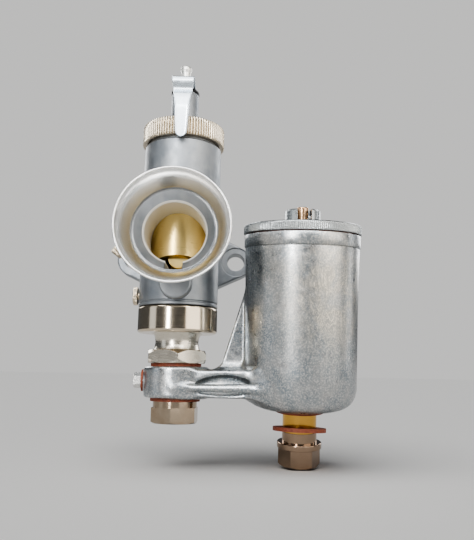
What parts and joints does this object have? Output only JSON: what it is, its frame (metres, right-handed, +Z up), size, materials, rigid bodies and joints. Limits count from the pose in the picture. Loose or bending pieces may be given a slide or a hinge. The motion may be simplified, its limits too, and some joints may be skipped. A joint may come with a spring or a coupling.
{
  "type": "motorcycle carburetor",
  "caption": "Slide carburetor with polished bellmouth, two-bolt flange and a remote bottom-feed float chamber on a banjo arm.",
  "frame": {"origin": "centre of the bore on the face of the engine flange", "axes": "+Y out of the flange to the engine, -Y out of the bellmouth, +X to the float chamber, +Z up along the mixing chamber"},
  "size_m": [0.1098, 0.084, 0.1767],
  "materials": {
    "zinc_casting": "fine satin die-cast zinc alloy, bluish grey",
    "polished_aluminium": "turned and polished",
    "cast_aluminium": "tumbled sand or die casting, bright and slightly mottled",
    "lid_aluminium": "turned, satin",
    "nickel": "bright nickel plate",
    "bright_zinc": "bright bluish zinc plate",
    "brass": "turned brass",
    "steel": "plain steel",
    "red_fibre": "vulcanised fibre, matt",
    "black_rubber": "matt"
  },
  "bodies": {
    "carburettor": {"mixing_chamber_body": "zinc_casting", "bellmouth": "polished_aluminium", "jet_block": "brass", "jet_block_washer": "red_fibre", "needle_jet": "brass", "main_jet": "brass", "pilot_jet": "brass", "union_nut": "nickel", "jet_holder": "nickel", "upper_banjo_washer": "red_fibre", "lower_banjo_washer": "red_fibre", "banjo_bolt": "nickel", "top_cap": "zinc_casting", "tower_washer": "black_rubber", "locking_clip": "bright_zinc", "adjuster_lock_nut": "nickel", "throttle_spring": "steel", "stop_screw_spring": "steel"},
    "throttle": {"throttle_slide": "brass", "jet_needle": "steel", "needle_clip": "steel"},
    "ring": {"cap_ring": "nickel"},
    "adjuster": {"cable_adjuster": "nickel"},
    "stop_screw": {"throttle_stop_screw": "nickel"},
    "air_screw": {"pilot_air_screw": "nickel"},
    "bowl": {"float_chamber": "cast_aluminium", "plug_washer": "red_fibre", "plug_screw": "nickel", "needle_seat": "brass", "bowl_washer": "red_fibre", "fuel_union_nut": "nickel", "lid_gasket": "red_fibre"},
    "lid": {"float_chamber_lid": "lid_aluminium", "tickler_pin": "steel", "tickler_spring": "steel"},
    "tickler_button": {"tickler": "brass"},
    "float_assembly": {"float": "brass", "float_needle": "brass", "float_clip": "steel"},
    "spare_washer": {"loose_washer": "red_fibre"}
  },
  "joints": [
    {"name": "throttle_lift", "type": "slide", "parent": "carburettor", "child": "throttle", "axis": [0, 0, 1], "range_m": [0, 0.0235], "stiffness_N_per_m": 250, "springref_m": -0.02, "deforming": ["throttle_spring"]},
    {"name": "cap_ring_turn", "type": "hinge", "parent": "carburettor", "child": "ring", "pos_m": [0, -0.04, 0.0495], "axis": [0, 0, 1], "range_deg": [0, 360]},
    {"name": "cable_adjuster_turn", "type": "hinge", "parent": "carburettor", "child": "adjuster", "pos_m": [0, -0.04, 0.075], "axis": [0, 0, 1], "range_deg": [-360, 360]},
    {"name": "throttle_stop_turn", "type": "hinge", "parent": "carburettor", "child": "stop_screw", "pos_m": [-0.0134, -0.04, 0.0151], "axis": [-0.6101, 0, -0.7923], "range_deg": [-360, 360]},
    {"name": "pilot_air_turn", "type": "hinge", "parent": "carburettor", "child": "air_screw", "pos_m": [-0.018, -0.04, -0.0216], "axis": [-1, 0, 0], "range_deg": [-360, 360]},
    {"name": "float_chamber_swivel", "type": "hinge", "parent": "carburettor", "child": "bowl", "pos_m": [0, -0.04, -0.0575], "axis": [0, 0, 1], "range_deg": [-20, 20]},
    {"name": "lid_turn", "type": "hinge", "parent": "bowl", "child": "lid", "pos_m": [0.0524, -0.04788, 0.00672], "axis": [0, -0.1219, 0.9925], "range_deg": [0, 360]},
    {"name": "tickler_press", "type": "slide", "parent": "lid", "child": "tickler_button", "axis": [0, 0.1219, -0.9925], "range_m": [0, 0.002], "stiffness_N_per_m": 500, "springref_m": -0.004, "deforming": ["tickler_spring"]},
    {"name": "float_rise", "type": "slide", "parent": "bowl", "child": "float_assembly", "axis": [0, -0.1219, 0.9925], "range_m": [0, 0.0024]},
    {"name": "washer_slide", "type": "slide", "parent": "bowl", "child": "spare_washer", "axis": [0, -0.1219, 0.9925], "range_m": [-0.0023, 0.0046]}
  ]
}
